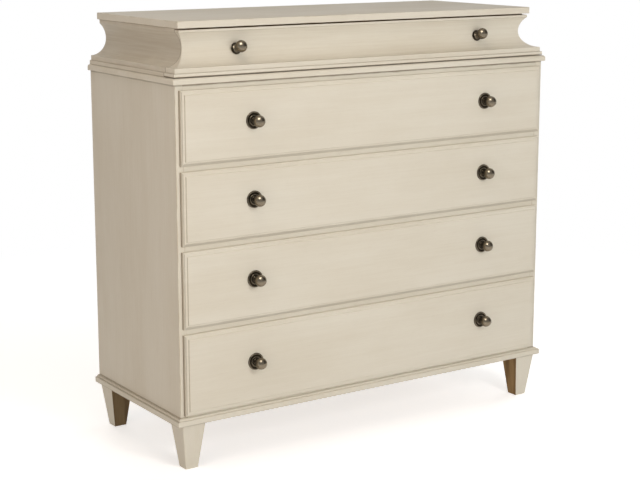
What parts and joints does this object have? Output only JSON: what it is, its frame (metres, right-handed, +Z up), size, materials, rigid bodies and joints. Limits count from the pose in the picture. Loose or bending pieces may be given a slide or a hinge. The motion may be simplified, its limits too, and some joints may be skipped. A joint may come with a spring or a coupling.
{
  "type": "chest of drawers",
  "caption": "Wide low chest with a coved frieze drawer under the top board, graduated lipped drawers below, ball knobs and short tapered feet, in pale painted wood.",
  "frame": {"origin": "on the floor, under the middle of the chest's overall box, knobs included", "axes": "+X to the right of someone who faces the chest, +Y from the front to the back, +Z up"},
  "size_m": [1.079, 0.4696, 1.016],
  "materials": {
    "painted_wood": "antique white paint, brushed along the grain, with brown glaze in the recesses",
    "drawer_box_wood": "clear-sealed solid hardwood",
    "plywood": "clear-sealed plywood",
    "antique_bronze": "dark antique bronze, rubbed on the high spots",
    "steel_screws": "zinc-plated steel"
  },
  "bodies": {
    "case": {"top_board": "painted_wood", "frieze_end_left": "painted_wood", "frieze_end_right": "painted_wood", "frieze_back": "painted_wood", "waist_board": "painted_wood", "side_panel_left": "painted_wood", "side_panel_right": "painted_wood", "back_panel": "plywood", "top_rail": "painted_wood", "drawer_rails": "painted_wood", "bottom_rail": "painted_wood", "drawer_runners": "drawer_box_wood", "base_front": "painted_wood", "base_left": "painted_wood", "base_right": "painted_wood", "base_back": "painted_wood", "foot_front_left": "painted_wood", "foot_front_right": "painted_wood", "foot_back_left": "painted_wood", "foot_back_right": "painted_wood", "foot_bolts": "steel_screws"},
    "drawer_1": {"drawer_1_front": "painted_wood", "drawer_1_side_left": "drawer_box_wood", "drawer_1_side_right": "drawer_box_wood", "drawer_1_back": "drawer_box_wood", "drawer_1_bottom": "plywood", "drawer_1_knobs": "antique_bronze", "drawer_1_rosettes": "antique_bronze", "drawer_1_knob_screws": "steel_screws"},
    "drawer_2": {"drawer_2_front": "painted_wood", "drawer_2_side_left": "drawer_box_wood", "drawer_2_side_right": "drawer_box_wood", "drawer_2_back": "drawer_box_wood", "drawer_2_bottom": "plywood", "drawer_2_knobs": "antique_bronze", "drawer_2_rosettes": "antique_bronze", "drawer_2_knob_screws": "steel_screws"},
    "drawer_3": {"drawer_3_front": "painted_wood", "drawer_3_side_left": "drawer_box_wood", "drawer_3_side_right": "drawer_box_wood", "drawer_3_back": "drawer_box_wood", "drawer_3_bottom": "plywood", "drawer_3_knobs": "antique_bronze", "drawer_3_rosettes": "antique_bronze", "drawer_3_knob_screws": "steel_screws"},
    "drawer_4": {"drawer_4_front": "painted_wood", "drawer_4_side_left": "drawer_box_wood", "drawer_4_side_right": "drawer_box_wood", "drawer_4_back": "drawer_box_wood", "drawer_4_bottom": "plywood", "drawer_4_knobs": "antique_bronze", "drawer_4_rosettes": "antique_bronze", "drawer_4_knob_screws": "steel_screws"},
    "frieze_drawer": {"frieze_drawer_front": "painted_wood", "frieze_drawer_side_left": "drawer_box_wood", "frieze_drawer_side_right": "drawer_box_wood", "frieze_drawer_back": "drawer_box_wood", "frieze_drawer_bottom": "plywood", "frieze_drawer_knobs": "antique_bronze", "frieze_drawer_knob_screws": "steel_screws"}
  },
  "joints": [
    {"name": "drawer_1_slide", "type": "slide", "parent": "case", "child": "drawer_1", "axis": [0, -1, 0], "range_m": [0, 0.3]},
    {"name": "drawer_2_slide", "type": "slide", "parent": "case", "child": "drawer_2", "axis": [0, -1, 0], "range_m": [0, 0.3]},
    {"name": "drawer_3_slide", "type": "slide", "parent": "case", "child": "drawer_3", "axis": [0, -1, 0], "range_m": [0, 0.3]},
    {"name": "drawer_4_slide", "type": "slide", "parent": "case", "child": "drawer_4", "axis": [0, -1, 0], "range_m": [0, 0.3]},
    {"name": "frieze_drawer_slide", "type": "slide", "parent": "case", "child": "frieze_drawer", "axis": [0, -1, 0], "range_m": [0, 0.25]}
  ]
}
